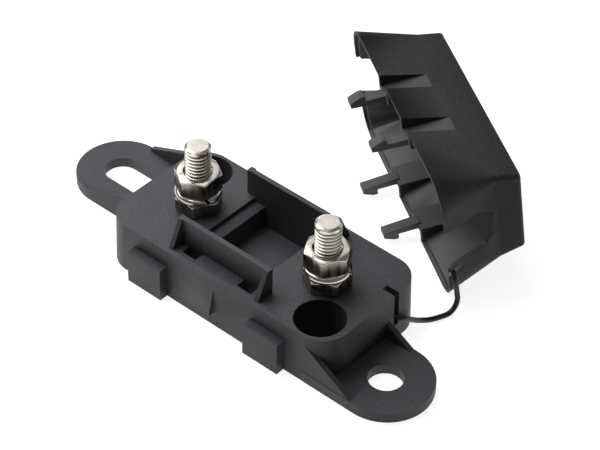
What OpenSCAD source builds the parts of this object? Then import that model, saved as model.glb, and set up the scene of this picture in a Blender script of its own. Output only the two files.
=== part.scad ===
// Bolt-down fuse holder for M8 strip fuses: a moulded base with two studs,
// and a snap cover that lies beside it on its tether strap.
// The origin is the middle of the base block's underside, X along the studs.

/* [Base block] */
// Length of the block
block_l = 88; // [84:0.5:100]
// Width of the block
block_w = 43.7; // [42:0.1:52]
// Height of the deck above the underside
block_h = 17.3; // [15.5:0.1:22]
// Radius of the block's upright corners
block_corner = 8.9; // [5:0.1:9.5]
// How far the block's foot stands out past its deck, as the mould's draft
draft = 0.35; // [0.1:0.05:0.6]
// Thickness of the outer walls
wall_t = 1.6; // [1.2:0.1:1.8]
// Thickness of the deck and of the trough's floor
deck_t = 2.4; // [1.8:0.1:3]
// Thickness of the ribs under the deck
rib_t = 1.5; // [1:0.1:2]

/* [Wells and pockets] */
// Radius of the two round wells
well_r = 7.8; // [6:0.1:8]
// Floor of the wells above the underside
well_floor = 2.4; // [1.5:0.1:5]
// Distance of a latch pocket's middle from the middle of the block
pocket_x = 10.9; // [9:0.1:12]
// Offset of the pockets and latches along the block, opposite on the two sides
pocket_shift = 0.9; // [-0.5:0.1:1.2]
// Width of a latch pocket
pocket_w = 5.4; // [5:0.1:6.5]

/* [Trough and fences] */
// Left edge of the ledge, measured from the middle
ledge_x = 15.3; // [14.5:0.1:16]
// Depth of the ledge under the deck
ledge_drop = 1.5; // [0.8:0.1:3]
// Width of the ledge
ledge_w = 4.1; // [2:0.1:5]
// Right edge of the trough, measured from the middle
trough_x = 10.7; // [8:0.1:12]
// Floor of the trough above the underside
trough_floor = 8.2; // [7.2:0.1:10]
// Clear width between the fences
fence_gap = 28; // [26:0.2:30]
// Thickness of a fence
fence_t = 1.6; // [1.2:0.1:2]
// Height of the fences above the deck
fence_h = 9; // [6:0.1:12]
// Length of the fences
fence_l = 35.4; // [33:0.1:38]
// Offset of the fences along the block
fence_shift = -0.8; // [-1.5:0.1:0.5]
// Reach of a fence's end wing at the deck
wing_reach = 4.6; // [2:0.1:5]

/* [Mounting ears] */
// Radius of the ears' round ends
ear_r = 14.45; // [12:0.05:16]
// Thickness of the ears
ear_t = 3.5; // [3:0.1:5]
// Distance of the right ear's hole from the block's end
ear_right = 10.9; // [9:0.1:16]
// Radius of the right ear's hole
ear_hole_r = 5.3; // [3:0.1:6]
// Distance of the left ear's round end from the block's end
ear_left = 22.4; // [20:0.1:28]
// Half the width of the left ear's slot
slot_r = 5.6; // [3:0.1:6]
// Distance between the slot's two round ends
slot_run = 11.6; // [6:0.1:14]
// Thickness of the webs along the ears' edges
web_t = 1.7; // [1.2:0.1:2.5]

/* [Side tabs] */
// Distance of a tab's middle from the middle of the block
tab_x = 23.2; // [22:0.1:26]
// Offset of both tabs along the block
tab_shift = -1.3; // [-2:0.1:1]
// Length of a tab
tab_l = 13.4; // [8:0.1:14]
// Reach of a tab from the wall
tab_reach = 3.3; // [2:0.1:4]
// Height of a tab
tab_h = 11.3; // [8:0.1:13]

/* [Studs and nuts] */
// Distance between the two studs
stud_gap = 51; // [49:0.1:54]
// Radius of a stud's thread
stud_r = 4; // [3:0.05:4.2]
// Length of a stud under its head
stud_l = 35; // [33:0.1:38]
// Thickness of a stud's head
head_t = 4.9; // [4:0.1:5.2]
// Clearance under a stud's head
head_gap = 0.3; // [0.2:0.05:0.6]
// Width across the flats of the heads and nuts
flats = 13; // [12:0.1:13]
// Thickness of a lower nut
lower_nut_t = 4.9; // [4:0.1:6]
// Thickness of a lock washer
washer_t = 2.1; // [1.5:0.1:2.5]
// Outer radius of a lock washer
washer_r = 7.3; // [6.8:0.1:7.4]
// Inner radius of a lock washer
washer_bore = 4.3; // [4.25:0.05:4.6]
// Thickness of a terminal nut
nut_t = 6.4; // [5.5:0.1:7]
// Radial clearance of the nuts on the studs
thread_gap = 0.08; // [0.05:0.01:0.1]
// Radial clearance of a stud in the base
shank_gap = 0.1; // [0.05:0.05:0.2]
// Clearance round a stud's head in its pocket
hex_gap = 0.2; // [0.1:0.05:0.4]

/* [Cover] */
// Height of the cover above its rim
cover_h = 26.6; // [25.5:0.1:32]
// Height of the crease round the cover
crease_h = 18.7; // [16:0.1:20]
// Difference between the block's outline and the cover's rim, on each long side
rim_gap = 0.3; // [0:0.05:0.5]
// How far the cover's ends stand out past the block's
end_reach = 0.7; // [0:0.1:1]
// How far the long sides lean in up to the crease
side_lean = 5.3; // [4:0.1:6]
// How far the ends lean in up to the crease
end_lean = 7.9; // [5:0.1:9]
// How far the long sides lean in above the crease
top_lean = 1.7; // [1:0.1:3]
// Radius of the cover's corners at the crease
crease_corner = 1.6; // [1.5:0.1:4]
// Thickness of the cover's wall
cover_t = 1.8; // [1.4:0.1:2]
// Radius of the cable cut-outs
cable_r = 7.1; // [5:0.1:7.1]
// Height of the cable cut-outs' centre above the rim
cable_z = 10.8; // [8:0.1:11]

/* [Latches] */
// Width of a latch arm
latch_w = 3.9; // [3.5:0.1:5]
// Thickness of a latch arm at its tip
latch_t = 1.5; // [1.3:0.1:1.8]
// Length of a latch below the rim
latch_l = 11; // [9:0.1:12.5]
// Height of a latch's hook
hook_h = 4.7; // [3.5:0.1:5.5]
// Reach of a latch's hook
hook_reach = 1.8; // [1.4:0.1:2]
// Distance of a latch's outer face from the middle of the cover
latch_y = 17.4; // [17:0.1:17.6]
// Clearance behind and before a latch in its pocket
latch_gap = 0.6; // [0.3:0.1:0.9]
// Width of the recess over a latch
recess_w = 6.4; // [5.5:0.1:8]

/* [Open cover] */
// Turn of the cover about the upright
cover_turn = -32.8; // [-36:0.2:-30]
// Tilt of the cover on its long side
cover_tilt = -82.3; // [-86:0.1:-80]
// Place of the cover's middle along X
cover_x = 8.4; // [8:0.1:9]
// Place of the cover's middle along Y
cover_y = 53.7; // [53.5:0.1:56]

/* [Tether] */
// Radius of the tether strap
tether_r = 0.85; // [0.6:0.05:0.95]
// Width of the slots that hold the tether's ends
tether_slot = 2.1; // [2:0.05:2.6]
// Distance of the tether slots from the middle line
tether_y = 9.5; // [9.4:0.1:10.5]
// Depth of the tether slots from the ends
tether_in = 4.6; // [4:0.1:5.5]

/* [Hidden] */
$fn = 48;
eps = 0.01;

half_l = block_l / 2;
half_w = block_w / 2;
stud_x = stud_gap / 2;
fence_in = fence_gap / 2;
fence_out = fence_in + fence_t;
well_x = half_l - well_r - 2;
well_y = half_w - well_r - 1.05;
boss_r = flats / sqrt(3) + hex_gap + rib_t;
seat_z = head_gap + head_t;
lower_top = block_h + lower_nut_t;
washer_top = lower_top + washer_t;
pocket_in = fence_out;
pocket_out = latch_y + latch_gap + hook_reach - 1;
catch_t = latch_l - hook_h - 0.2;
ear_y = half_w + draft - ear_r;
right_ear_x = half_l + ear_right;
left_ear_x = half_l + ear_left;
tether_floor = 5.4;
cover_z = (half_w - rim_gap) * sin(-cover_tilt);
base_colour = [0.29, 0.29, 0.31];
cover_colour = [0.17, 0.17, 0.18];
metal_colour = [0.80, 0.77, 0.70];

// Hand-chosen route of the tether, from the base's slot to the cover's slot
tether_route = [
  [42.4, 9.5, 8.2], [43.8, 9.5, 8.2], [44.9, 9.9, 8.1], [45.6, 11.2, 7.6], [45.9, 13.0, 6.3],
  [46.0, 15.0, 4.7], [46.2, 17.0, 3.2], [46.5, 19.0, 2.0], [47.2, 21.0, 1.2], [48.2, 23.0, 1.0],
  [49.1, 25.0, 1.0], [49.8, 27.0, 1.0], [50.1, 28.8, 1.5], [50.2, 30.2, 2.7], [50.0, 31.1, 4.4],
  [49.5, 31.4, 6.2], [49.0, 31.5, 8.2], [48.5, 31.6, 10.4], [47.5, 31.9, 12.1], [46.5, 32.5, 12.1],
  [45.7, 33.0, 12.1]];

module rounded(half_x, half_y, r) {
  for (x = [-1, 1]) for (y = [-1, 1])
    translate([x * (half_x - r), y * (half_y - r)]) circle(r = r);
  square([2 * half_x, 2 * (half_y - r)], center = true);
  square([2 * (half_x - r), 2 * half_y], center = true);
}

module box(low, high) {
  translate(low) cube(high - low);
}

// Places its children at the four latches, facing outwards, in the base as in the cover
module at_latches() {
  for (side = [0, 180]) for (x = [-pocket_x, pocket_x])
    rotate([0, 0, side]) translate([x + pocket_shift, 0, 0]) children();
}

// Base

// The block, a little wider at its foot than at its deck
module block_form() {
  translate([0, 0, block_h]) mirror([0, 0, 1])
    linear_extrude(block_h, scale = [1 + draft / half_l, 1 + draft / half_w], slices = 1)
      rounded(half_l, half_w, block_corner);
}

module ear_plan(x, run) {
  translate([x, 0]) circle(r = ear_r);
  translate([x - run, -ear_r]) square([run, 2 * ear_r]);
}

// A web from height z0 at x0 down to z1 at x1, its outer face just inside the block's leaning wall
module side_web(x0, z0, x1, z1) {
  slope = draft / block_h;
  inset = 0.05;
  multmatrix([[1, 0, 0, 0], [0, 1, slope, -half_w - draft + inset], [0, 0, 1, 0], [0, 0, 0, 1]])
    web(x0, z0, x1, z1, web_t);
}

module web(x0, z0, x1, z1, y) {
  translate([0, y, 0]) rotate([90, 0, 0])
    linear_extrude(web_t)
      polygon([[x0, 0], [x1, 0], [x1, z1], [x0, z0]]);
}

module right_ear() {
  inner = half_l - block_corner;
  translate([0, -ear_y, 0]) linear_extrude(ear_t) ear_plan(right_ear_x, right_ear_x - inner);
  side_web(inner, block_h - 2.8, right_ear_x - 1.5, ear_t);
  web(half_l - wall_t, 9.8, right_ear_x - 1.5, ear_t, ear_r - ear_y);
}

module left_ear() {
  inner = half_l - block_corner;
  rotate([0, 0, 180]) {
    translate([0, -ear_y, 0]) linear_extrude(ear_t) ear_plan(left_ear_x, left_ear_x - inner);
    side_web(inner, block_h - 0.1, left_ear_x - 0.4, ear_t + 1.1);
    web(half_l - wall_t, block_h - 4, left_ear_x - 0.4, ear_t, ear_r - ear_y);
  }
}

module ear_openings() {
  translate([right_ear_x, -ear_y, -1]) cylinder(r = ear_hole_r, h = ear_t + 2);
  for (x = [left_ear_x, left_ear_x - slot_run])
    translate([-x, ear_y, -1]) cylinder(r = slot_r, h = ear_t + 2);
  box([-left_ear_x, ear_y - slot_r, -1], [-left_ear_x + slot_run, ear_y + slot_r, ear_t + 1]);
}

module fence() {
  box([-fence_l / 2, fence_in, block_h - 1], [fence_l / 2, fence_out, block_h + fence_h]);
  for (x = [-fence_l / 2, fence_l / 2 - fence_t]) translate([x, 0, 0])
    rotate([90, 0, 90]) linear_extrude(fence_t)
      polygon([
        [fence_in, block_h - 1], [fence_out + wing_reach, block_h - 1], [fence_out + wing_reach, block_h],
        [fence_out + 0.4, block_h + fence_h], [fence_in, block_h + fence_h]]);
}

module side_tabs() {
  for (x = [-tab_x, tab_x])
    box([x + tab_shift - tab_l / 2, -half_w - tab_reach, 0], [x + tab_shift + tab_l / 2, -half_w + 1, tab_h]);
  translate([0.9, -half_w + 0.5, 1.6]) snap_wedge();
}

// A small ramp on the near wall that a neighbour's tab snaps over
module snap_wedge() {
  hull() {
    box([-0.2, -2.5, 3], [0, 0, 4]);
    box([-6, -0.2, 3], [-5.8, 0, 12]);
    box([-0.2, -0.2, 3], [0, 0, 13]);
  }
}

// What stands inside the hollow underside: ribs, bosses and the walls of the pockets
module inner_walls() {
  box([-rib_t / 2, -half_w, -2], [rib_t / 2, half_w, block_h]);
  box([-half_l, -rib_t / 2, -2], [half_l, rib_t / 2, block_h]);
  // Trough floor and its end walls
  box([-ledge_x - rib_t, -fence_in, trough_floor - deck_t], [trough_x + rib_t, fence_in, block_h]);
  for (x = [-ledge_x - rib_t, trough_x])
    box([x, -half_w, -2], [x + rib_t, half_w, block_h]);
  for (side = [-1, 1]) {
    box([-ledge_x, side * fence_in - rib_t / 2, -2], [trough_x, side * fence_in + rib_t / 2, block_h]);
    translate([side * stud_x, 0, -2]) cylinder(r = boss_r, h = block_h);
    translate([side * well_x, -side * well_y, -2]) cylinder(r = well_r + rib_t, h = block_h);
  }
  at_latches() box(
    [-pocket_w / 2 - rib_t, pocket_in - rib_t, block_h - catch_t],
    [pocket_w / 2 + rib_t, half_w, block_h]);
  // Boss round the tether's slot
  box(
    [half_l - tether_in - rib_t, tether_y - tether_slot / 2 - rib_t, -2],
    [half_l, tether_y + tether_slot / 2 + rib_t, block_h]);
}

module underside() {
  difference() {
    translate([0, 0, -1]) linear_extrude(block_h - deck_t + 1)
      rounded(half_l - wall_t, half_w - wall_t, block_corner - wall_t);
    inner_walls();
  }
}

module latch_pocket() {
  box([-pocket_w / 2, pocket_in, -1], [pocket_w / 2, pocket_out, block_h + 1]);
  box([-pocket_w / 2, pocket_in, -1], [pocket_w / 2, half_w - wall_t, block_h - catch_t]);
}

module base() {
  color(base_colour) difference() {
    union() {
      block_form();
      right_ear();
      left_ear();
      for (side = [0, 180]) translate([fence_shift, 0, 0]) rotate([0, 0, side]) fence();
      side_tabs();
    }
    ear_openings();
    box([-ledge_x, -fence_in, block_h - ledge_drop], [-ledge_x + ledge_w + 1, fence_in, block_h + 1]);
    box([-ledge_x + ledge_w, -fence_in, trough_floor], [trough_x, fence_in, block_h + 1]);
    underside();
    at_latches() latch_pocket();
    for (side = [-1, 1]) {
      translate([side * well_x, -side * well_y, well_floor]) cylinder(r = well_r, h = block_h);
      translate([side * stud_x, 0, -1]) cylinder(r = stud_r + shank_gap, h = block_h + 2);
      translate([side * stud_x, 0, -1])
        cylinder(r = flats / sqrt(3) + hex_gap, h = seat_z + 1, $fn = 6);
    }
    // Tether slot, with a round bottom
    box(
      [half_l - tether_in, tether_y - tether_slot / 2, tether_floor + tether_slot / 2],
      [half_l + 1, tether_y + tether_slot / 2, block_h + 1]);
    translate([half_l - tether_in, tether_y, tether_floor + tether_slot / 2])
      rotate([0, 90, 0]) cylinder(r = tether_slot / 2, h = tether_in + 1);
  }
}

// Studs, nuts and washers

module hexagon(thickness) {
  corner_r = flats / sqrt(3);
  chamfer = 0.5;
  intersection() {
    cylinder(r = corner_r, h = thickness, $fn = 6);
    rotate_extrude() polygon([
      [0, 0], [corner_r - 2 * chamfer, 0], [corner_r, chamfer],
      [corner_r, thickness - chamfer], [corner_r - 2 * chamfer, thickness], [0, thickness]]);
  }
}

module stud() {
  top = seat_z + stud_l;
  tip = 0.8;
  color(metal_colour) {
    translate([0, 0, head_gap]) hexagon(head_t);
    rotate_extrude() polygon([
      [0, seat_z - 1], [stud_r, seat_z - 1], [stud_r, top - tip], [stud_r - tip, top], [0, top]]);
  }
}

module nut(bottom, thickness, turn) {
  color(metal_colour) translate([0, 0, bottom]) rotate([0, 0, turn]) difference() {
    hexagon(thickness);
    translate([0, 0, -1]) cylinder(r = stud_r + thread_gap, h = thickness + 2);
  }
}

module lock_washer(turn) {
  split = 0.9;
  slant = 35;
  color(metal_colour) translate([0, 0, lower_top]) rotate([0, 0, turn]) difference() {
    cylinder(r = washer_r, h = washer_t);
    translate([0, 0, -1]) cylinder(r = washer_bore, h = washer_t + 2);
    translate([washer_r, 0, washer_t / 2]) rotate([slant, 0, 0])
      cube([2 * (washer_r - washer_bore + 0.5), split, 4 * washer_t], center = true);
  }
}

// Cover, in its closed place over the deck with z measured from the rim

module level(z, in_x, in_y, r) {
  translate([0, 0, z]) linear_extrude(eps)
    rounded(half_l + end_reach - in_x, half_w - rim_gap - in_y, r);
}

// The cover's body, drawn in by an even wall for its inside
module cover_form(inset, low, high) {
  lean_y = side_lean + inset;
  hull() {
    level(low, inset, inset, block_corner - inset);
    level(crease_h, end_lean + inset, lean_y, crease_corner - inset / 2);
  }
  hull() {
    level(crease_h, end_lean + inset, lean_y, crease_corner - inset / 2);
    level(high - 0.6, end_lean + inset, lean_y + top_lean, crease_corner - inset / 2);
    level(high - eps, end_lean + inset + 0.5, lean_y + top_lean + 0.5, crease_corner - inset / 2 - 0.4);
  }
}

module cable_cutout() {
  translate([half_l - end_lean - 6, 0, cable_z]) rotate([0, 90, 0]) cylinder(r = cable_r, h = 20);
  box([half_l - end_lean - 6, -cable_r, -1], [half_l + 5, cable_r, cable_z]);
}

module latch() {
  translate([-latch_w / 2, 0, 0]) rotate([90, 0, 90]) linear_extrude(latch_w)
    polygon([
      [latch_y - cover_t - 0.5, 1], [latch_y, 1], [latch_y, hook_h - latch_l],
      [latch_y + hook_reach, hook_h - latch_l], [latch_y + hook_reach, hook_h - latch_l - 1.5],
      [latch_y + 0.4, -latch_l], [latch_y - latch_t, -latch_l]]);
}

module recess_solid(grow, y) {
  box([-recess_w / 2 - grow, y, grow > 0 ? 0 : -1], [recess_w / 2 + grow, half_w + 1, crease_h]);
}

module cover() {
  color(cover_colour)
    translate([cover_x, cover_y, cover_z]) rotate([cover_tilt, 0, cover_turn]) {
      difference() {
        cover_form(0, 0, cover_h);
        difference() {
          cover_form(cover_t, -eps, cover_h - cover_t);
          at_latches() recess_solid(rib_t, latch_y - cover_t);
        }
        // Stepped lip round the rim
        difference() {
          translate([0, 0, -1]) linear_extrude(2.1)
            rounded(half_l + end_reach - 1, half_w - rim_gap - 1, block_corner - 1);
          at_latches() recess_solid(rib_t, latch_y - cover_t);
        }
        for (side = [0, 180]) rotate([0, 0, side]) cable_cutout();
        at_latches() recess_solid(0, latch_y);
        box([half_l - tether_in, tether_y - tether_slot / 2, -1], [half_l + 1, tether_y + tether_slot / 2, 5]);
      }
      at_latches() latch();
    }
}

// Tether: one tube swept along its route

function unit(v) = v / norm(v);

function heading(route, i) =
  unit(route[min(i + 1, len(route) - 1)] - route[max(i - 1, 0)]);

function ring(route, i, r, sides) =
  let (along = heading(route, i), across = unit(cross(along, [0.3, 0.1, 1])), up = cross(across, along))
  [for (k = [0 : sides - 1]) route[i] + r * (cos(360 * k / sides) * across + sin(360 * k / sides) * up)];

module tube(route, r, sides) {
  rings = len(route);
  points = [for (i = [0 : rings - 1]) each ring(route, i, r, sides)];
  around = [
    for (i = [0 : rings - 2]) for (k = [0 : sides - 1])
      let (a = i * sides + k, b = i * sides + (k + 1) % sides)
        each [[a, b, b + sides], [a, b + sides, a + sides]]];
  first_end = [for (k = [sides - 1 : -1 : 0]) k];
  last_end = [for (k = [0 : sides - 1]) (rings - 1) * sides + k];
  polyhedron(points, concat(around, [first_end, last_end]));
}

module tether_strap() {
  color(cover_colour) tube(tether_route, tether_r, 8);
}

base();
translate([-stud_x, 0, 0]) stud();  // stud_left
translate([stud_x, 0, 0]) stud();  // stud_right
translate([-stud_x, 0, 0]) nut(block_h, lower_nut_t, 1);  // lower_nut_left
translate([stud_x, 0, 0]) nut(block_h, lower_nut_t, 33);  // lower_nut_right
translate([-stud_x, 0, 0]) lock_washer(-22);  // lock_washer_left
translate([stud_x, 0, 0]) lock_washer(20);  // lock_washer_right
translate([-stud_x, 0, 0]) nut(washer_top, nut_t, 30);  // terminal_nut_left
translate([stud_x, 0, 0]) nut(washer_top, nut_t, -2);  // terminal_nut_right
cover();
tether_strap();
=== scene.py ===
import bmesh
import bpy
import numpy as np
from mathutils import Matrix, Vector


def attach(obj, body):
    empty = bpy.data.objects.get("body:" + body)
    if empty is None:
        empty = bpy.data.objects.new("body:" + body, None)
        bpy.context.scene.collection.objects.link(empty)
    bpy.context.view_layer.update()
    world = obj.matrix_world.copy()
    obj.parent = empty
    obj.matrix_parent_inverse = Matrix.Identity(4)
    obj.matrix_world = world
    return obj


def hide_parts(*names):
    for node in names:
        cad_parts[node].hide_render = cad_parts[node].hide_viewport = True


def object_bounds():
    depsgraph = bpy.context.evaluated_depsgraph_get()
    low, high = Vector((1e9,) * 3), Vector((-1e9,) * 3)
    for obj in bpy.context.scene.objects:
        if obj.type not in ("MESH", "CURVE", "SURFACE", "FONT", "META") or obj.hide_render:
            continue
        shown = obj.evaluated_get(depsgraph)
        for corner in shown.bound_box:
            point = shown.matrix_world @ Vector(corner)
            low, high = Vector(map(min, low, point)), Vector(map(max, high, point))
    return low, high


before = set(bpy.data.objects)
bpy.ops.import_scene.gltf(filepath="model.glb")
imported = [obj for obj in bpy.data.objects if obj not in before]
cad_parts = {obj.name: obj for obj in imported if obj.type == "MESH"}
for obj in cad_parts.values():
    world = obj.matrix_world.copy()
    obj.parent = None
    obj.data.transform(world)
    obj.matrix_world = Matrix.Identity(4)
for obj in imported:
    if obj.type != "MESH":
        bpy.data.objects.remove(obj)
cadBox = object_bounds()
mm = 0.001
print("frame loaded")


# Camera: turned about the upright, raised, rolled, then moved across and up in its own picture plane

cameraPlace = {
    "azimuth": 40.73,
    "elevation": 40.94,
    "roll": 1.1,
    "sensor": 36,  # mm
    "lens": 136.6,  # mm
    "near": 10 * mm,
    "far": 20000 * mm,
    "across": 11.56 * mm,
    "up": 18.17 * mm,
    "distance": 683.18 * mm,
}


def makeCamera(place):
    a, e, r = np.radians([place["azimuth"], place["elevation"], place["roll"]])
    back = np.array([np.sin(a) * np.cos(e), -np.cos(a) * np.cos(e), np.sin(e)])
    right = np.array([np.cos(a), np.sin(a), 0.0])
    up = np.cross(back, right)
    right, up = np.cos(r) * right + np.sin(r) * up, np.cos(r) * up - np.sin(r) * right
    spot = right * place["across"] + up * place["up"] + back * place["distance"]
    data = bpy.data.cameras.new("camera")
    data.lens = place["lens"]
    data.sensor_width = place["sensor"]
    data.clip_start = place["near"]
    data.clip_end = place["far"]
    camera = bpy.data.objects.new("camera", data)
    turned = np.eye(4)
    turned[:3, 0], turned[:3, 1], turned[:3, 2], turned[:3, 3] = right, up, back, spot
    camera.matrix_world = Matrix(turned.tolist())
    bpy.context.collection.objects.link(camera)
    bpy.context.scene.camera = camera


makeCamera(cameraPlace)
print("camera placed")


# Materials


class Nodes:
    # A material's node tree, with short ways to add and join nodes
    def __init__(self, name):
        self.material = bpy.data.materials.new(name)
        self.material.use_nodes = True
        self.tree = self.material.node_tree
        self.shader = self.tree.nodes["Principled BSDF"]
        self.place = self.add("ShaderNodeTexCoord").outputs["Object"]

    def add(self, kind, inputs=None, **settings):
        node = self.tree.nodes.new(kind)
        for key, value in settings.items():
            setattr(node, key, value)
        for key, value in (inputs or {}).items():
            node.inputs[key].default_value = value
        return node

    def join(self, start, end):
        self.tree.links.new(start, end)

    def noise(self, scale, detail=2.0, rough=0.5, stretch=(1, 1, 1)):
        spread = self.add("ShaderNodeMapping", {"Scale": stretch})
        node = self.add("ShaderNodeTexNoise", {"Scale": scale, "Detail": detail, "Roughness": rough})
        self.join(self.place, spread.inputs["Vector"])
        self.join(spread.outputs["Vector"], node.inputs["Vector"])
        return node.outputs["Fac"]

    def spreadOut(self, source, low, high, fromLow=0.3, fromHigh=0.7):
        # Stretches a noise's usual range to the one asked for
        node = self.add(
            "ShaderNodeMapRange", {"From Min": fromLow, "From Max": fromHigh, "To Min": low, "To Max": high})
        self.join(source, node.inputs["Value"])
        return node.outputs["Result"]

    def between(self, source, first, second, fromLow=0.35, fromHigh=0.65):
        # The middle of the noise's range carries the change from the first colour to the second
        ramp = self.add("ShaderNodeValToRGB")
        for end, place, colour in zip(ramp.color_ramp.elements, (fromLow, fromHigh), (first, second)):
            end.position, end.color = place, (*colour, 1)
        self.join(source, ramp.inputs["Fac"])
        return ramp.outputs["Color"]

    def mixed(self, factor, first, second):
        # From the first colour, an output, to the second, a written one, as the factor goes from 0 to 1
        firstColour, secondColour, mixedColour = 6, 7, 2  # the node's colour sockets
        node = self.add("ShaderNodeMix", data_type="RGBA")
        self.join(factor, node.inputs["Factor"])
        self.join(first, node.inputs[firstColour])
        node.inputs[secondColour].default_value = (*second, 1)
        return node.outputs[mixedColour]

    def bumps(self, layers):
        # Stacks bump nodes: each layer is (height source, strength, distance)
        last = None
        for source, strength, distance in layers:
            node = self.add("ShaderNodeBump", {"Strength": strength, "Distance": distance})
            self.join(source, node.inputs["Height"])
            if last:
                self.join(last, node.inputs["Normal"])
            last = node.outputs["Normal"]
        self.join(last, self.shader.inputs["Normal"])


grainLook = {"detail": 3.0, "roughness": 0.6}
speckLook = {  # the top end of a finer noise shows as light specks
    "finer": 2.1, "detail": 1.0, "roughness": 0.4, "from": 0.62, "to": 0.72}
flowLook = {  # faint cloudiness from the melt
    "scale": 45, "detail": 3.0, "roughness": 0.55, "strength": 0.06, "depth": 0.2 * mm}
plasticLooks = {
    "basePlastic": {
        "dark": (0.054, 0.0525, 0.063), "light": (0.084, 0.0825, 0.097),
        "speck": (0.13, 0.13, 0.14), "rough": (0.46, 0.58),
        "grainScale": 1500, "grain": 0.22, "grainDepth": 0.03 * mm},
    # painted highlight: the base's eased edges take this lighter colour, standing in for the sheen on their
    # rounds
    "baseEdgeSheen": {
        "dark": (0.110, 0.108, 0.120), "light": (0.150, 0.148, 0.162),
        "speck": (0.17, 0.17, 0.18), "rough": (0.46, 0.58),
        "grainScale": 1500, "grain": 0.10, "grainDepth": 0.02 * mm},
    "coverGrain": {
        "dark": (0.022, 0.022, 0.023), "light": (0.042, 0.042, 0.043),
        "speck": (0.085, 0.085, 0.088), "rough": (0.60, 0.75),
        "grainScale": 1300, "grain": 0.55, "grainDepth": 0.05 * mm},
    # painted highlight: the cover's eased edges take this lighter colour, standing in for the sheen on their
    # rounds
    "coverEdgeSheen": {
        "dark": (0.055, 0.055, 0.056), "light": (0.085, 0.085, 0.086),
        "speck": (0.12, 0.12, 0.12), "rough": (0.50, 0.60),
        "grainScale": 1300, "grain": 0.15, "grainDepth": 0.03 * mm},
    # smooth faces on the latches and recess floors: the lower roughness is their finish, the colour lighter
    # than the grain is painted light
    "coverSmoothLit": {
        "dark": (0.085, 0.083, 0.094), "light": (0.098, 0.096, 0.108),
        "speck": (0.11, 0.11, 0.12), "rough": (0.40, 0.50),
        "grainScale": 1500, "grain": 0.08, "grainDepth": 0.02 * mm},
    # painted shade: near-black colour for the inward faces deep in the cover, where little light reaches
    "coverPaintedShade": {
        "dark": (0.006, 0.006, 0.007), "light": (0.009, 0.009, 0.010),
        "speck": (0.016, 0.016, 0.017), "rough": (0.50, 0.60),
        "grainScale": 1500, "grain": 0.10, "grainDepth": 0.02 * mm},
    # painted light: the inner wall panels are coloured lighter than the cover's plastic, standing in for the
    # light falling on them
    "coverLitPanel": {
        "dark": (0.115, 0.113, 0.124), "light": (0.130, 0.128, 0.140),
        "speck": (0.15, 0.15, 0.16), "rough": (0.36, 0.46),
        "grainScale": 1500, "grain": 0.06, "grainDepth": 0.02 * mm},
    "strapPlastic": {
        "dark": (0.010, 0.010, 0.011), "light": (0.015, 0.015, 0.016),
        "speck": (0.02, 0.02, 0.02), "rough": (0.36, 0.46),
        "grainScale": 1800, "grain": 0.08, "grainDepth": 0.02 * mm},
}


def mouldedPlastic(name):
    look = plasticLooks[name]
    n = Nodes(name)
    flow = n.noise(flowLook["scale"], flowLook["detail"], flowLook["roughness"])
    grain = n.noise(look["grainScale"], grainLook["detail"], grainLook["roughness"])
    finer = n.noise(speckLook["finer"] * look["grainScale"], speckLook["detail"], speckLook["roughness"])
    specks = n.spreadOut(finer, 0.0, 1.0, speckLook["from"], speckLook["to"])
    plain = n.between(grain, look["dark"], look["light"])
    n.join(n.mixed(specks, plain, look["speck"]), n.shader.inputs["Base Color"])
    n.join(n.spreadOut(flow, *look["rough"]), n.shader.inputs["Roughness"])
    n.shader.inputs["IOR"].default_value = 1.5
    n.bumps([(grain, look["grain"], look["grainDepth"]), (flow, flowLook["strength"], flowLook["depth"])])
    return n.material


cloudLook = {"scale": 220, "detail": 3.0, "roughness": 0.6, "depth": 0.05 * mm}  # patches in the plating
# the darkest colour of each look goes into the thread's roots: dirt and oxide there, and painted shade
nickelLooks = {
    "nickel": {
        "dark": (0.70, 0.65, 0.57), "light": (0.82, 0.78, 0.70),
        "grooveDirtAndShade": (0.10, 0.085, 0.065), "rough": (0.16, 0.26),
        "brushScale": 260, "brushStretch": (1, 1, 6),
        "brush": 0.05, "brushDepth": 0.02 * mm, "cloud": 0.10},
    "nickelThread": {
        "dark": (0.72, 0.67, 0.58), "light": (0.84, 0.80, 0.72),
        "grooveDirtAndShade": (0.06, 0.045, 0.030), "rough": (0.24, 0.32),
        "brushScale": 260, "brushStretch": (1, 1, 6),
        "brush": 0.02, "brushDepth": 0.01 * mm, "cloud": 0.0},
    # painted reflection: the nuts' upright sides are coloured darker with upright streaks, standing in for the
    # dark surroundings they reflect
    "nickelFlankReflection": {
        "dark": (0.17, 0.155, 0.13), "light": (0.36, 0.33, 0.28),
        "grooveDirtAndShade": (0.08, 0.07, 0.06), "rough": (0.20, 0.34),
        "brushScale": 520, "brushStretch": (1, 1, 0.12),
        "brush": 0.10, "brushDepth": 0.02 * mm, "cloud": 0.05},
}


def nickelPlate(name):
    # A point attribute, 1 at a thread's root and absent on smooth pieces, darkens the metal: partly dirt and
    # oxide in the roots, partly painted shade there
    look = nickelLooks[name]
    n = Nodes(name)
    cloud = n.noise(cloudLook["scale"], cloudLook["detail"], cloudLook["roughness"])
    brush = n.noise(look["brushScale"], stretch=look["brushStretch"])
    grooveDirtAndShade = n.add("ShaderNodeAttribute", attribute_name="grooveDirtAndShade")
    # on the nuts' sides the stretched noise paints streaks of reflection into the colour; elsewhere the cloud
    # noise varies the plating's tone
    plain = n.between(brush if name == "nickelFlankReflection" else cloud, look["dark"], look["light"])
    n.join(n.mixed(grooveDirtAndShade.outputs["Fac"], plain, look["grooveDirtAndShade"]), n.shader.inputs["Base Color"])
    n.join(n.spreadOut(brush, *look["rough"]), n.shader.inputs["Roughness"])
    n.shader.inputs["Metallic"].default_value = 1.0
    n.bumps([(brush, look["brush"], look["brushDepth"]), (cloud, look["cloud"], cloudLook["depth"])])
    return n.material


materials = {name: mouldedPlastic(name) for name in plasticLooks}
materials.update({name: nickelPlate(name) for name in nickelLooks})
print("materials made")


# Meshes


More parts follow.
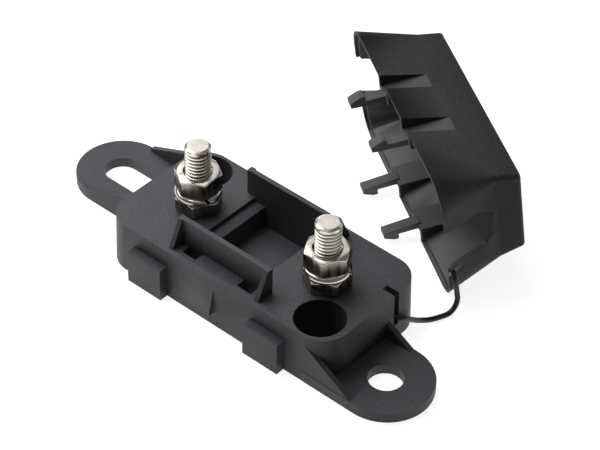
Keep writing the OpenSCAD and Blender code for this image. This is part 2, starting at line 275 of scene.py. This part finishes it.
def newPiece(name, points, faces, materialName, body, smoothAngle):
    mesh = bpy.data.meshes.new(name)
    mesh.from_pydata(points.tolist(), [], faces.tolist() if hasattr(faces, "tolist") else faces)
    piece = bpy.data.objects.new(name, mesh)
    bpy.context.collection.objects.link(piece)
    tidyMesh(mesh)
    shadeByAngle(mesh, smoothAngle)
    mesh.materials.append(materials[materialName])
    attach(piece, body)
    return piece


def tidyMesh(mesh, near=0.001 * mm):
    work = bmesh.new()
    work.from_mesh(mesh)
    bmesh.ops.remove_doubles(work, verts=work.verts, dist=near)
    bmesh.ops.dissolve_degenerate(work, edges=work.edges, dist=near)
    bmesh.ops.recalc_face_normals(work, faces=work.faces)
    work.to_mesh(mesh)
    work.free()


def shadeByAngle(mesh, angle):
    mesh.shade_smooth()
    mesh.set_sharp_from_angle(angle=np.radians(angle))


def readAll(items, field, width, kind=float):
    values = np.empty(len(items) * width, kind)
    items.foreach_get(field, values)
    return values.reshape(-1, width) if width > 1 else values


def gridFaces(rows, columns):
    # Quads between neighbouring rows and columns; the last column meets the first
    row, column = np.meshgrid(np.arange(rows - 1), np.arange(columns), indexing="ij")
    after = (column + 1) % columns
    here, above = row * columns, (row + 1) * columns
    return np.stack([here + column, here + after, above + after, above + column], axis=-1).reshape(-1, 4)


# Tether strap: a circle carried along a smooth curve through the solids' own route

strap = {
    "radius": 0.85 * mm,
    "sides": 16,
    "steps": 8,
    "smoothAngle": 60,
    "unlike": [0.3, 0.1, 1.0],  # a direction that the route never takes
    "route": np.array([
        [42.4, 9.5, 8.2], [43.8, 9.5, 8.2], [44.9, 9.9, 8.1], [45.6, 11.2, 7.6], [45.9, 13.0, 6.3],
        [46.0, 15.0, 4.7], [46.2, 17.0, 3.2], [46.5, 19.0, 2.0], [47.2, 21.0, 1.2], [48.2, 23.0, 1.0],
        [49.1, 25.0, 1.0], [49.8, 27.0, 1.0], [50.1, 28.8, 1.5], [50.2, 30.2, 2.7], [50.0, 31.1, 4.4],
        [49.5, 31.4, 6.2], [49.0, 31.5, 8.2], [48.5, 31.6, 10.4], [47.5, 31.9, 12.1], [46.5, 32.5, 12.1],
        [45.7, 33.0, 12.1]]) * mm,
}


def smoothPath(route, steps):
    # Catmull-Rom: between points b and c the curve is a cubic with the slopes (c - a) / 2 and (d - b) / 2
    padded = np.vstack([2 * route[0] - route[1], route, 2 * route[-1] - route[-2]])
    a, b, c, d = padded[:-3], padded[1:-2], padded[2:-1], padded[3:]
    t = np.linspace(0, 1, steps, endpoint=False)[:, None, None]
    curve = 0.5 * (2 * b + (c - a) * t + (2 * a - 5 * b + 4 * c - d) * t**2 + (3 * b - a - 3 * c + d) * t**3)
    return np.vstack([curve.transpose(1, 0, 2).reshape(-1, 3), route[-1:]])


def tubeAlong(path, look):
    # At each point of the path a circle stands square to the path; across and over are its two axes
    sides = look["sides"]
    along = np.gradient(path, axis=0)
    along /= np.linalg.norm(along, axis=1)[:, None]
    across = np.cross(along, look["unlike"])
    across /= np.linalg.norm(across, axis=1)[:, None]
    over = np.cross(across, along)
    turn = np.linspace(0, 2 * np.pi, sides, endpoint=False)[None, :, None]
    rings = path[:, None] + look["radius"] * (np.cos(turn) * across[:, None] + np.sin(turn) * over[:, None])
    points = rings.reshape(-1, 3)
    faces = gridFaces(len(path), sides).tolist()
    faces += [list(range(sides))[::-1], [len(points) - sides + k for k in range(sides)]]
    return points, faces


strapPath = smoothPath(strap["route"], strap["steps"])
strapPoints, strapFaces = tubeAlong(strapPath, strap)
strapPiece = newPiece(
    "tetherStrap", strapPoints, strapFaces, "strapPlastic", "holder", strap["smoothAngle"])
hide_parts("tether_strap")


# Base and cover: the solids with their flat faces rejoined and their edges eased as a mould leaves them

# The eased edges take the edge plastic, whose lighter colour is a painted highlight of the sheen on the rounds
moulded = {
    "base": {
        "name": "holderBase", "round": 0.28 * mm, "join": 0.03 * mm, "clamp": True,
        "plastics": ("basePlastic", "baseEdgeSheen"), "edge": "baseEdgeSheen"},
    "cover": {
        "name": "snapCover", "round": 0.2 * mm, "join": 0.002 * mm, "clamp": False,
        "plastics": ("coverGrain", "coverSmoothLit", "coverPaintedShade", "coverEdgeSheen", "coverLitPanel"), "edge": "coverEdgeSheen"},
}
easing = {"segments": 2, "edgeAngle": 28, "smoothAngle": 30, "flatAngle": 0.6, "near": 0.002 * mm}
openCover = {
    "spot": (8.4 * mm, 53.7 * mm, 21.355 * mm), "tilt": -82.3, "turn": -32.8,  # the cover's own frame
    "crease": 18.7 * mm, "creaseNear": 0.05 * mm,  # height of the bend in the walls
    "middle": 9 * mm, "axisHalf": 25 * mm, "inwardsBelow": -0.01 * mm,  # a line inside, to tell in from out
    "latchBelow": -0.1 * mm,  # only the latches reach past the rim
    "panelFacing": 0.9, "recessFacing": 0.98,  # share of a normal across the cover
    "recessReach": 22 * mm, "recess": 18.5 * mm}


def roundedCopy(node, look):
    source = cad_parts[node]
    mesh = source.data.copy()
    mesh.materials.clear()
    piece = bpy.data.objects.new(look["name"], mesh)
    bpy.context.collection.objects.link(piece)
    work = bmesh.new()
    work.from_mesh(mesh)
    bmesh.ops.remove_doubles(work, verts=work.verts, dist=easing["near"])
    bmesh.ops.dissolve_degenerate(work, edges=work.edges, dist=look["join"])
    flat = np.radians(easing["flatAngle"])
    bmesh.ops.dissolve_limit(work, angle_limit=flat, verts=work.verts, edges=work.edges)
    work.to_mesh(mesh)
    work.free()
    bevel = piece.modifiers.new("round", "BEVEL")
    bevel.width = look["round"]
    bevel.segments = easing["segments"]
    bevel.limit_method = "ANGLE"
    bevel.angle_limit = np.radians(easing["edgeAngle"])
    bevel.harden_normals = True
    # the bevel's faces take the lighter edge plastic: a painted highlight
    bevel.material = look["plastics"].index(look["edge"])
    bevel.use_clamp_overlap = look["clamp"]
    bevel.miter_outer = "MITER_ARC"
    shadeByAngle(mesh, easing["smoothAngle"])
    for name in look["plastics"]:
        mesh.materials.append(materials[name])
    return piece


basePiece = roundedCopy("base", moulded["base"])
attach(basePiece, "holder")
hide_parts("base")


def inCoverFrame(points, place):
    # The cover's own frame: z runs from its rim to its roof, x along its length
    tilt, turn = np.radians([place["tilt"], place["turn"]])
    tiltBy = np.array([[1, 0, 0], [0, np.cos(tilt), -np.sin(tilt)], [0, np.sin(tilt), np.cos(tilt)]])
    turnBy = np.array([[np.cos(turn), -np.sin(turn), 0], [np.sin(turn), np.cos(turn), 0], [0, 0, 1]])
    return (points - place["spot"]) @ (turnBy @ tiltBy)


def finishCover(mesh, place, plastics):
    # Sharpens the crease and gives each face its plastic: smooth, with a lighter colour of painted light, on
    # the latches and the recess floors, lighter panels of painted light on the walls' inner sides, near-black
    # painted shade on the other faces that look inwards, and grain outside
    points = inCoverFrame(readAll(mesh.vertices, "co", 3), place)
    edges = readAll(mesh.edges, "vertices", 2, np.int32)
    onCrease = np.abs(points[:, 2] - place["crease"]) < place["creaseNear"]
    sharp = readAll(mesh.edges, "use_edge_sharp", 1, bool)
    mesh.edges.foreach_set("use_edge_sharp", sharp | onCrease[edges].all(axis=1))

    centre, normal = readAll(mesh.polygons, "center", 3), readAll(mesh.polygons, "normal", 3)
    middle = inCoverFrame(centre, place)
    ahead = inCoverFrame(centre + normal, place) - middle
    lean = np.abs(ahead / np.linalg.norm(ahead, axis=1)[:, None])
    alongAxis = np.clip(middle[:, 0], -place["axisHalf"], place["axisHalf"])
    axis = np.stack([alongAxis, 0 * alongAxis, 0 * alongAxis + place["middle"]], axis=-1)
    inwards = ((middle - axis) * ahead).sum(axis=1) < place["inwardsBelow"]
    latch = middle[:, 2] < place["latchBelow"]
    litPanel = inwards & (lean[:, 1] > place["panelFacing"])
    sunk = (np.abs(middle[:, 0]) < place["recessReach"]) & (np.abs(middle[:, 1]) < place["recess"])
    recess = ~inwards & sunk & (lean[:, 1] > place["recessFacing"])
    slots = [plastics.index(name) for name in ("coverSmoothLit", "coverLitPanel", "coverPaintedShade")]
    kinds = np.select([latch | recess, litPanel, inwards], slots, plastics.index("coverGrain"))
    mesh.polygons.foreach_set("material_index", kinds.astype(np.int32))


coverPiece = roundedCopy("cover", moulded["cover"])
finishCover(coverPiece.data, openCover, moulded["cover"]["plastics"])
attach(coverPiece, "open_cover")
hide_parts("cover")
print("base and cover rounded")


# Studs, nuts and washers: M8 hardware, stacked on the deck from the lower nuts up

hardware = {
    "pitch": 51 * mm, "flats": 13 * mm, "deck": 17.3 * mm,
    "lowerNut": 4.9 * mm, "washer": 2.1 * mm, "terminalNut": 6.4 * mm}
studPlaces = {"left": -hardware["pitch"] / 2, "right": hardware["pitch"] / 2}
washerBottom = hardware["deck"] + hardware["lowerNut"]
stud = {
    "radius": 4 * mm,
    "pitch": 1.25 * mm,
    "threadDepth": 0.72 * mm,
    "profile": np.array([0.0, 0.05, 0.45, 0.90, 1.0, 0.90, 0.45, 0.05]),  # one turn: crest, flank, root, flank
    "top": 40.2 * mm,
    "tip": 0.55 * mm,
    "tipSlope": 1.5,
    "plainTip": 1.2 * mm,
    "fadeTurns": 0.6,
    "sides": 56,
    "near": 0.0001 * mm,
    "grooveCurve": 1.5,
    "headBottom": 0.3 * mm,
    "headThickness": 4.9 * mm,
    "headInner": 0.6 * mm,
    "headSides": 72,
    "smoothAngle": 25,
}
stud["bottom"] = stud["headBottom"] + stud["headThickness"]  # the shank starts on its head


def tipLimit(height, s):
    # The crest's radius, which falls by the slope over the tip
    return s["radius"] - s["tipSlope"] * np.clip(height - (s["top"] - s["tip"]), 0, s["tip"])


def threadSurface(s):
    # Rows follow the helix, so each row keeps one place on the thread's profile, whose depth fades out at the
    # tip. The radius is the profile's, and never more than the cone at the tip allows. The turn past each end
    # is pressed flat, and at the lower end it is one ring at the root's radius, which closes the shank.
    pitch, rows = s["pitch"], len(s["profile"])
    turns = int(np.ceil((s["top"] - s["bottom"]) / pitch)) + 2
    row = np.arange(turns * rows)
    angle = np.linspace(0, 2 * np.pi, s["sides"], endpoint=False)
    height = s["bottom"] - pitch + row[:, None] * pitch / rows + angle[None] / (2 * np.pi) * pitch
    fade = np.clip((s["top"] - s["plainTip"] - height) / (s["fadeTurns"] * pitch), 0, 1)
    radius = s["radius"] - s["threadDepth"] * s["profile"][row % rows][:, None] * fade
    radius = np.where(height < s["bottom"] + s["near"], s["radius"] - s["threadDepth"], radius)
    radius = np.minimum(radius, tipLimit(height, s))
    height = np.clip(height, s["bottom"], s["top"])
    return np.stack([radius * np.cos(angle), radius * np.sin(angle), height], axis=-1)


hexShape = {
    "cornerCut": 0.12 * mm, "bearingIn": 0.25 * mm, "chamfer": 30, "sink": 0.55 * mm, "rimIn": 0.22 * mm,
    # the rim's round from the chamfer to the side: in from the edge, and out from the chamfer's height there
    "rim": ((0.22 * mm, 0.13 * mm), (0.12 * mm, 0.06 * mm), (0.04 * mm, -0.07 * mm), (0.0, -0.22 * mm)),
}


def hexEdge(angle, flats, cornerRadius):
    # Distance from the middle to a hexagon's side at each angle, never past the round that cuts the corners
    sixth = np.pi / 3
    off = (angle % sixth) - sixth / 2
    return np.minimum(flats / 2 / np.cos(off), cornerRadius)


def hexRings(bottom, thickness, innerRadius, sides, turn):
    # Rings of a hexagonal nut from the bore round its section and back. The faces drop at the chamfer's angle
    # past the bearing circle, which leaves an arc on each side of the hexagon.
    h, flats = hexShape, hardware["flats"]
    angle = np.linspace(0, 2 * np.pi, sides, endpoint=False)
    edge = hexEdge(angle, flats, flats / 2 / np.cos(np.pi / 6) - h["cornerCut"])
    bearing = flats / 2 - h["bearingIn"]
    drop = np.clip(edge - bearing, 0, None) * np.tan(np.radians(h["chamfer"]))
    top, sink = bottom + thickness, h["sink"]
    one = np.ones(sides)
    rings = [
        (innerRadius * one, (bottom + sink) * one),
        ((innerRadius + sink) * one, bottom * one),
        ((bearing - h["rimIn"]) * one, bottom * one),
        *[(edge - into, bottom + drop - out) for into, out in h["rim"]],
        *[(edge - into, top - drop + out) for into, out in h["rim"][::-1]],
        ((bearing - h["rimIn"]) * one, top * one),
        ((innerRadius + sink) * one, top * one),
        (innerRadius * one, (top - sink) * one),
    ]
    across, along = np.cos(angle + turn), np.sin(angle + turn)
    return np.stack([np.stack([radius * across, radius * along, z], axis=-1) for radius, z in rings])


def shifted(points, x):
    moved = points.reshape(-1, 3).copy()
    moved[:, 0] += x
    return moved


def markGrooves(mesh, x, s):
    # The attribute that darkens the roots with dirt and painted shade: how far a point lies below the crest, as
    # a share of the thread's depth
    spots = readAll(mesh.vertices, "co", 3)
    radius = np.hypot(spots[:, 0] - x, spots[:, 1])
    below = (tipLimit(spots[:, 2], s) - radius) / s["threadDepth"]
    share = np.clip(below, 0, 1) * (spots[:, 2] > s["bottom"])
    grooveDirtAndShade = mesh.attributes.new("grooveDirtAndShade", "FLOAT", "POINT")
    grooveDirtAndShade.data.foreach_set("value", (share ** s["grooveCurve"]).astype(np.float32))


def makeStud(side):
    # The last column meets the first one a turn higher; the head is a nut's outer rings, closed at both ends
    grid = threadSurface(stud)
    index = np.arange(grid.shape[0] * grid.shape[1]).reshape(grid.shape[:2])
    step = len(stud["profile"])
    here, above = index[:-1], index[1:]
    inner = np.stack([here[:, :-1], here[:, 1:], above[:, 1:], above[:, :-1]], axis=-1).reshape(-1, 4)
    seam = np.stack([here[:-step, -1], here[step:, 0], above[step:, 0], above[:-step, -1]], axis=-1)
    faces = np.vstack([inner, seam]).tolist() + [index[-1].tolist(), index[0, ::-1].tolist()]
    boreRings = 2
    head = hexRings(stud["headBottom"], stud["headThickness"], stud["headInner"], stud["headSides"], 0)
    head = head[boreRings:-boreRings]
    headIndex = np.arange(head.shape[0] * head.shape[1]).reshape(head.shape[:2]) + index.size
    faces += (gridFaces(*head.shape[:2]) + index.size).tolist()
    faces += [headIndex[0, ::-1].tolist(), headIndex[-1].tolist()]
    points = np.vstack([shifted(grid, studPlaces[side]), shifted(head, studPlaces[side])])
    piece = newPiece(
        "studThreaded_" + side, points, faces, "nickelThread", "holder", stud["smoothAngle"])
    markGrooves(piece.data, studPlaces[side], stud)
    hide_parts("stud_" + side)


nutShape = {"bore": 4.08 * mm, "sides": 96, "smoothAngle": 25, "upright": 0.1}
nuts = {
    "lower": {
        "bottom": hardware["deck"], "thickness": hardware["lowerNut"],
        "turns": {"left": 1, "right": 33}, "bodies": {"left": "holder", "right": "holder"}},
    "terminal": {
        "bottom": washerBottom + hardware["washer"], "thickness": hardware["terminalNut"],
        "turns": {"left": 30, "right": -2}, "bodies": {"left": "left_nut", "right": "right_nut"}},
}


def darkFlanks(mesh):
    # The sides of a hexagon, which stand upright, take a darker colour streaked upright: a painted reflection
    # of dark surroundings
    mesh.materials.append(materials["nickelFlankReflection"])
    upright = np.abs(readAll(mesh.polygons, "normal", 3)[:, 2]) < nutShape["upright"]
    mesh.polygons.foreach_set("material_index", upright.astype(np.int32))


def makeNut(kind, side):
    # The hexagon's rings, joined from the last back to the first by the bore
    look, node = nuts[kind], kind + "_nut_" + side
    turn = np.radians(look["turns"][side])
    rings = hexRings(look["bottom"], look["thickness"], nutShape["bore"], nutShape["sides"], turn)
    count, columns = rings.shape[:2]
    first = np.arange(columns)
    last = (count - 1) * columns + first
    bore = np.stack([last, np.roll(last, -1), np.roll(first, -1), first], axis=-1)
    faces = np.vstack([gridFaces(count, columns), bore])
    points = shifted(rings, studPlaces[side])
    piece = newPiece(
        kind + "Nut_" + side, points, faces, "nickel", look["bodies"][side], nutShape["smoothAngle"])
    darkFlanks(piece.data)
    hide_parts(node)


washers = {
    "left": {"turn": -22, "body": "left_washer"},
    "right": {"turn": 20, "body": "right_washer"},
}
washerSize = {
    "inner": 4.3 * mm, "outer": 7.3 * mm, "bottom": washerBottom, "thickness": hardware["washer"],
    "split": 0.9 * mm, "slant": 35, "edge": 0.25 * mm, "shoulder": 1.5 * mm, "shoulderPoints": 7,
    "steps": 90, "smoothAngle": 30}


def makeWasher(side, look):
    # A rectangle with eased corners and a round outer shoulder is carried round the stud from one side of the
    # split to the other; the ends lean by the split's slant, so the angle of a point changes with its height
    w, steps = washerSize, washerSize["steps"]
    inner, outer, top, edge = w["inner"], w["outer"], w["thickness"], w["edge"]
    arc = np.radians(np.linspace(0, 90, w["shoulderPoints"]))
    shoulder = [outer - w["shoulder"] * (1 - np.cos(arc)), top - w["shoulder"] * (1 - np.sin(arc))]
    section = np.vstack([
        [[inner + edge, 0], [outer - edge, 0], [outer, edge]], np.stack(shoulder, axis=-1),
        [[inner + edge, top], [inner, top - edge], [inner, edge]]])
    t = np.linspace(0, 1, steps)[:, None]
    radius, height = section[None, :, 0] + 0 * t, section[None, :, 1] + 0 * t
    slant = np.radians(w["slant"])
    half = w["split"] / 2 / np.cos(slant) / radius
    lean = -(height - top / 2) * np.tan(slant) / radius
    angle = np.radians(look["turn"]) + half + t * (2 * np.pi - 2 * half) + lean
    points = np.stack([radius * np.cos(angle), radius * np.sin(angle), height + w["bottom"]], axis=-1)
    count = len(section)
    faces = gridFaces(steps, count).tolist()
    faces += [list(range(count)), [(steps - 1) * count + k for k in range(count)][::-1]]
    points = shifted(points, studPlaces[side])
    piece = newPiece(
        "lockWasher_" + side, points, faces, "nickel", look["body"], w["smoothAngle"])
    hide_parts("lock_washer_" + side)


for side in studPlaces:
    makeStud(side)
    makeWasher(side, washers[side])
for kind in nuts:
    for side in studPlaces:
        makeNut(kind, side)
print("studs, nuts and washers made")


# Stage and lights

stage = {
    "floorTone": 0.72, "floorGlow": 0.02,  # the white table's light on the part
    "floorSeen": 0.85,  # what the camera and reflections see on top of that
    "floorRough": 0.9, "floorReach": 6.0, "floorBelow": 0.05 * mm,
    "worldSeen": 1.0, "worldReflected": 0.13}


def lightPath(tree, *kinds):
    # The largest of the named ray kinds, 0 or 1
    path = tree.nodes.new("ShaderNodeLightPath")
    result = path.outputs[kinds[0]]
    for kind in kinds[1:]:
        larger = tree.nodes.new("ShaderNodeMath")
        larger.operation = "MAXIMUM"
        tree.links.new(result, larger.inputs[0])
        tree.links.new(path.outputs[kind], larger.inputs[1])
        result = larger.outputs[0]
    return result


def addScaled(tree, source, factor, rest):
    # source * factor + rest, where rest is a number or another output
    node = tree.nodes.new("ShaderNodeMath")
    node.operation = "MULTIPLY_ADD"
    tree.links.new(source, node.inputs[0])
    node.inputs[1].default_value = factor
    if isinstance(rest, float):
        node.inputs[2].default_value = rest
    else:
        tree.links.new(rest, node.inputs[2])
    return node.outputs[0]


def makeStage(s):
    material = bpy.data.materials.new("floorWhite")
    material.use_nodes = True
    tree = material.node_tree
    shader = tree.nodes["Principled BSDF"]
    shader.inputs["Base Color"].default_value = (s["floorTone"],) * 3 + (1,)
    shader.inputs["Roughness"].default_value = s["floorRough"]
    shader.inputs["Specular IOR Level"].default_value = 0.0
    shader.inputs["Emission Color"].default_value = (1, 1, 1, 1)
    seen = lightPath(tree, "Is Camera Ray", "Is Glossy Ray")
    tree.links.new(addScaled(tree, seen, s["floorSeen"], s["floorGlow"]), shader.inputs["Emission Strength"])
    mesh = bpy.data.meshes.new("floor")
    reach = s["floorReach"]
    level = float(cadBox[0][2]) - s["floorBelow"]
    corners = [(-reach, -reach, level), (reach, -reach, level), (reach, reach, level), (-reach, reach, level)]
    mesh.from_pydata(corners, [], [(0, 1, 2, 3)])
    mesh.materials.append(material)
    floor = bpy.data.objects.new("floor", mesh)
    bpy.context.collection.objects.link(floor)

    world = bpy.data.worlds.new("studio")
    bpy.context.scene.world = world
    world.use_nodes = True
    tree = world.node_tree
    background = tree.nodes["Background"]
    background.inputs["Color"].default_value = (1, 1, 1, 1)
    seen = lightPath(tree, "Is Camera Ray", "Is Transmission Ray")
    reflected = addScaled(tree, lightPath(tree, "Is Glossy Ray"), s["worldReflected"], 0.0)
    tree.links.new(addScaled(tree, seen, s["worldSeen"], reflected), background.inputs["Strength"])


def makeLamp(name, spot, size, power):
    # A square lamp that looks at the frame's origin
    data = bpy.data.lights.new(name, "AREA")
    data.shape = "RECTANGLE"
    data.size = data.size_y = size
    data.energy = power
    lamp = bpy.data.objects.new(name, data)
    lamp.location = spot
    lamp.rotation_euler = (Vector((0, 0, 0)) - Vector(spot)).to_track_quat("-Z", "Y").to_euler()
    bpy.context.collection.objects.link(lamp)


lamps = {
    "keyLeft": {"spot": (-0.17, 0.0, 0.27), "size": 0.28, "power": 0.66},
    "top": {"spot": (-0.05, 0.0, 0.7), "size": 0.5, "power": 0.50},
    "back": {"spot": (-0.50, 0.50, 0.55), "size": 0.55, "power": 0.60},
    "behind": {"spot": (0.20, 0.75, 0.35), "size": 0.4, "power": 0.25},
}

makeStage(stage)
for name, lamp in lamps.items():
    makeLamp(name, lamp["spot"], lamp["size"], lamp["power"])
bpy.context.scene.view_settings.view_transform = "Standard"
print("stage and lamps set")
